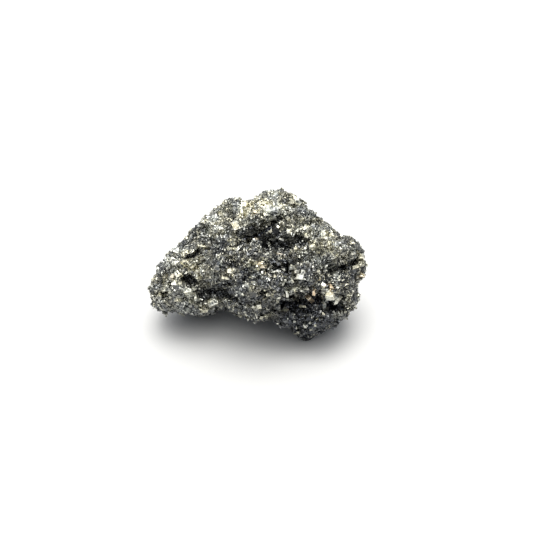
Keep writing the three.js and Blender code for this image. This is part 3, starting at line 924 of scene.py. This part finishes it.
def makePyrite(name):
    material = bpy.data.materials.new(name)
    material.use_nodes = True
    tree = material.node_tree
    nodes = Wire(tree)
    shader = next(each for each in tree.nodes if each.type == "BSDF_PRINCIPLED")
    shader.inputs["Metallic"].default_value = 1

    def attribute(attributeName, output="Fac"):
        return nodes.node("ShaderNodeAttribute", {"attribute_name": attributeName}, output=output)

    place = nodes.node("ShaderNodeTexCoord", output="Object")
    tone, facet, hollow, shine, tarnish = (attribute(each) for each in
                                           ("tone", "facet", "hollow", "shine", "tarnish"))
    own = nodes.vector("ABSOLUTE", attribute("own", "Vector"))
    split = nodes.node("ShaderNodeSeparateXYZ", output="X", in0=own)
    a, b, c = split, split.other("Y"), split.other("Z")
    most = nodes.maths("MAXIMUM", nodes.maths("MAXIMUM", a, b), c)
    least = nodes.maths("MINIMUM", nodes.maths("MINIMUM", a, b), c)
    second = a + b + c - most - least
    # Painted highlight along the crystals' edges
    rim = nodes.step(second, *pyrite["rims"]["range"])
    bright = pyrite["brightness"]
    # the random tone and facet, and the painted light and shade of the zones and looks
    toneAndPaintedLight = tone * bright["tone"] + facet * bright["facet"] + shine * bright["shine"]
    brass = nodes.mix(nodes.step(toneAndPaintedLight, bright["from"], bright["to"]), pyrite["dull"], pyrite["fresh"])
    clouds = pyrite["clouds"]
    cloud = nodes.node("ShaderNodeTexNoise", {}, output="Fac", Vector=place, Scale=clouds["scale"],
                       Detail=clouds["detail"])
    brass = nodes.mix(nodes.step(cloud, *clouds["range"]) * clouds["share"], brass, pyrite["dull"])
    drift = nodes.node("ShaderNodeTexNoise", {}, output="Fac", Vector=place,
                       Scale=1 / (pyrite["drift"]["size"] * mm), Detail=pyrite["drift"]["detail"])
    cast = nodes.mix(nodes.step(drift, *pyrite["drift"]["range"]), pyrite["coolDrift"], pyrite["warmDrift"])
    brass = nodes.mix(1.0, brass, cast, "MULTIPLY")
    # Dark lines between flakes are painted shade of the gaps between grains, weaker where there is painted
    # light
    flakes = pyrite["flakes"]
    seam = nodes.node("ShaderNodeTexVoronoi", {"feature": "DISTANCE_TO_EDGE"}, output="Distance",
                      Vector=nodes.vector("MULTIPLY", place, flakes["flat"]), Scale=1 / (flakes["size"] * mm))
    lined = (1 - nodes.step(seam, *flakes["seam"])) * (1 - nodes.maths("MAXIMUM", shine, 0.0)
                                                       * flakes["lessInShine"]) * flakes["dark"]
    brass = nodes.mix(lined, brass, pyrite["seam"])
    tint = attribute("tint")
    brass = nodes.mix(nodes.step(tint, 0.0, 1.0), brass, pyrite["warm"])
    brass = nodes.mix(nodes.step(tint * -1.0, 0.0, 1.0), brass, pyrite["cool"])
    brass = nodes.mix(rim * pyrite["rims"]["share"], brass, pyrite["rim"])
    # Painted shade: hollows, recesses, undersides and gaps go towards the shade colour; the brightest tones
    # and the notable crystals are spared
    shadeInHollows = nodes.step(hollow, *pyrite["shutIn"]["range"]) * pyrite["shutIn"]["share"]
    clean = attribute("clean")
    spared = nodes.step(tone, *pyrite["brightest"]["range"]) * -pyrite["brightest"]["less"] - clean
    shadeShare = nodes.maths("ADD", nodes.maths("MAXIMUM", tarnish, shadeInHollows), spared, use_clamp=True)
    dark = nodes.mix(shadeShare, brass, pyrite["tarnish"])
    # Painted shade: where the painted light is low, the colour goes towards the deepest one
    lit = nodes.maths("ADD", shine * pyrite["lit"]["byShine"] + pyrite["lit"]["least"], 0.0, use_clamp=True)
    tree.links.new(nodes.mix(lit, pyrite["deepest"], dark).socket, shader.inputs["Base Color"])
    smooth, rough = pyrite["roughness"]
    tree.links.new((facet * (rough - smooth) + smooth).socket, shader.inputs["Roughness"])
    facets = pyrite["facets"]
    cell = nodes.node("ShaderNodeTexVoronoi", {"feature": "F1"}, output="Position", Vector=place,
                      Scale=1 / (facets["size"] * mm))
    lean = nodes.vector("SUBTRACT", cell.other("Color"), (0.5, 0.5, 0.5))
    height = nodes.vector("DOT_PRODUCT", nodes.vector("SUBTRACT", place, cell), lean, output="Value")
    relief = height * (1 - clean * facets["lessOnClean"]) * (2 * facets["tilt"])
    bump = nodes.node("ShaderNodeBump", {}, Strength=1.0, Distance=1.0, Height=relief)
    tree.links.new(bump.socket, shader.inputs["Normal"])
    return material


paper = {"side": 6, "colour": (0.8, 0.8, 0.8, 1), "roughness": 0.9, "specular": 0.1}


def makeFloorPaper():
    material = bpy.data.materials.new("paper")
    material.use_nodes = True
    shader = next(each for each in material.node_tree.nodes if each.type == "BSDF_PRINCIPLED")
    shader.inputs["Base Color"].default_value = paper["colour"]
    shader.inputs["Roughness"].default_value = paper["roughness"]
    shader.inputs["Specular IOR Level"].default_value = paper["specular"]
    return material


# Studio: a soft glow above, a little in front, brighter at its core, a weaker one behind, and a dim room. All
# of it is in the world's shader.

studio = {
    "glows": {
        "core": {"from": (0.02, 0, 1), "inner": 2, "outer": 26, "power": 3.4},
        "key": {"from": (-0.04, -0.1, 1), "inner": 2, "outer": 52, "power": 2.42},
        "wall": {"from": (0, 0.77, 0.64), "inner": 10, "outer": 45, "power": 1.1},
    },
    "keyColour": (1.0, 0.99, 0.96, 1),
    "roomGlow": 0.2,
    "lowRoom": {"height": (0.1, 0.5), "share": 0.35},  # how much of the room's glow comes from near the floor
    "roomColour": (0.95, 0.99, 1.05, 1),
    "keyShare": (0.3, 2.0),  # glow between which the light turns from the room's colour to the key's
    "backdropGlow": 1.0,
    "backdropColour": (1, 1, 1, 1),
}


def makeFloor():
    deselectAll()
    bpy.ops.mesh.primitive_plane_add(size=paper["side"], location=(0, 0, 0))
    floor = bpy.context.object
    floor.name = "floor"
    floor.data.materials.append(makeFloorPaper())


def makeRoom():
    world = bpy.data.worlds.new("studio")
    world.use_nodes = True
    tree = world.node_tree
    nodes = Wire(tree)
    background = tree.nodes["Background"]
    way = nodes.vector("NORMALIZE", nodes.node("ShaderNodeTexCoord", output="Generated"))
    height = nodes.node("ShaderNodeSeparateXYZ", output="Z", in0=way)
    glow = (nodes.step(height, *studio["lowRoom"]["height"]) * (1 - studio["lowRoom"]["share"])
            + studio["lowRoom"]["share"]) * studio["roomGlow"]
    for light in studio["glows"].values():
        toLight = Vector(light["from"]).normalized()
        facing = nodes.vector("DOT_PRODUCT", way, tuple(toLight), output="Value")
        inner, outer = (math.cos(math.radians(light[each])) for each in ("inner", "outer"))
        glow = glow + nodes.step(facing, outer, inner) * light["power"]
    seen = nodes.node("ShaderNodeLightPath", output="Is Camera Ray")
    tree.links.new((seen * (studio["backdropGlow"] - glow) + glow).socket, background.inputs["Strength"])
    colour = nodes.mix(nodes.step(glow, *studio["keyShare"]), studio["roomColour"], studio["keyColour"])
    tree.links.new(nodes.mix(seen, colour, studio["backdropColour"]).socket, background.inputs["Color"])
    bpy.context.scene.world = world
    bpy.context.scene.view_settings.view_transform = "Standard"


makeCamera()
mass = makeMass()
print("mass", len(mass.data.polygons) * 2, "triangles")
measureHollows(mass)
paintZones(mass)
print("hollows and zones measured")
kinds = {name: makeKinds(name) for name in crystalKinds}
pieces = [mass, placeNotable(mass, kinds)] + [growCrust(name, mass, kinds) for name in crusts]
for group in kinds.values():
    removeKinds(group)
finishBare(mass)
for piece in pieces:
    keepInBox(piece, boxMargins["crystals"])
    piece.data.materials.clear()
    piece.data.materials.append(makePyrite(piece.name + "Finish"))
    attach(piece, "root")
    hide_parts("pyrite_mass")
makeFloor()
makeRoom()
